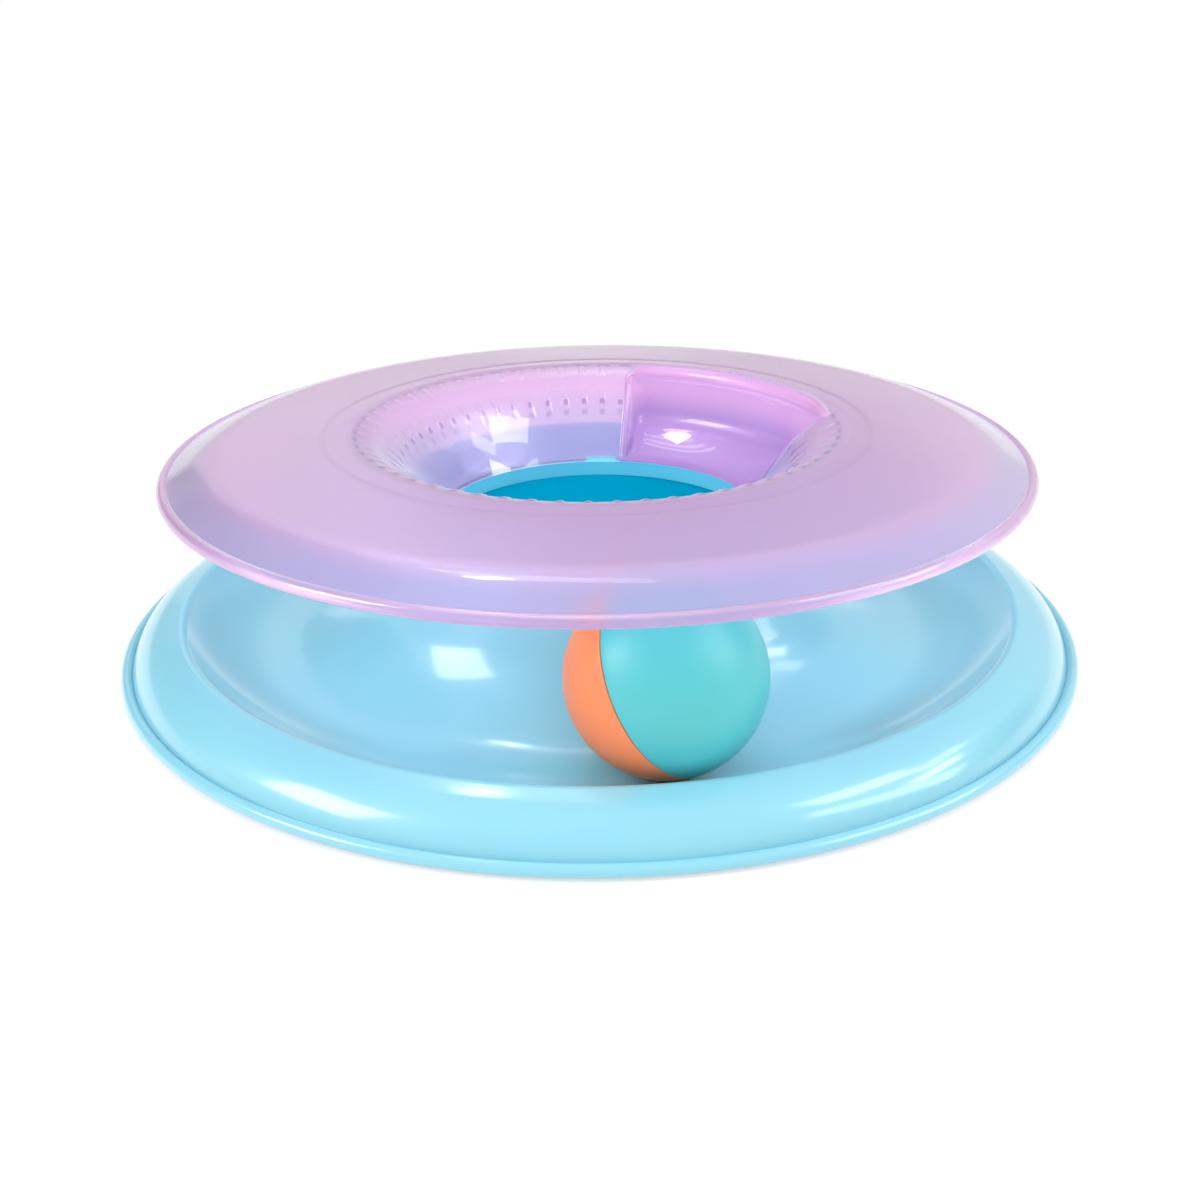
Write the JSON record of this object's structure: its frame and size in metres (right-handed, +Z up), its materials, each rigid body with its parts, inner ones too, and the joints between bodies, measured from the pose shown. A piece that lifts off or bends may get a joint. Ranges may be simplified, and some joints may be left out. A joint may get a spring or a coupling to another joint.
{
  "type": "cat ball track toy",
  "caption": "Round dish with a ball rolling in its track, under a lift-off disc with a nubbed funnel, a side scoop and a snap-in centre cap.",
  "frame": {"origin": "on the floor, at the middle of the dish's round outline", "axes": "+Z up along the toy's axis; -Y is the side that the viewer stands on; +X is the viewer's right"},
  "size_m": [0.25, 0.25, 0.0573],
  "materials": {
    "base_plastic": "glossy translucent sky-blue moulding",
    "pad_rubber": "soft milky grip pad",
    "cap_plastic": "deep cyan moulding",
    "top_plastic": "glossy translucent lilac moulding",
    "pocket_plastic": "glossy translucent pink-lilac moulding",
    "ball_orange": "satin orange moulding",
    "ball_teal": "satin teal moulding",
    "rattle_plastic": "plain bead"
  },
  "bodies": {
    "base": {"base_dish": "base_plastic", "grip_pads": "pad_rubber", "centre_cap": "cap_plastic"},
    "top": {"top_disc": "top_plastic", "scoop_pocket": "pocket_plastic"},
    "rattle": {"rattle_bead": "rattle_plastic"},
    "ball": {"ball_orange_half": "ball_orange", "ball_teal_half": "ball_teal"}
  },
  "joints": [
    {"name": "top_lift", "type": "slide", "parent": "base", "child": "top", "axis": [0, 0, 1], "range_m": [0, 0.06]},
    {"name": "ball_orbit", "type": "hinge", "parent": "base", "child": "rattle", "pos_m": [0, 0, 0], "axis": [0, 0, 1], "continuous": true},
    {"name": "ball_roll", "type": "hinge", "parent": "rattle", "child": "ball", "pos_m": [0.01407, -0.08687, 0.026], "axis": [-0.1599, 0.9871, 0], "continuous": true}
  ],
  "couplings": [
    {"joint": "ball_roll", "follows": "ball_orbit", "ratio": 4}
  ]
}
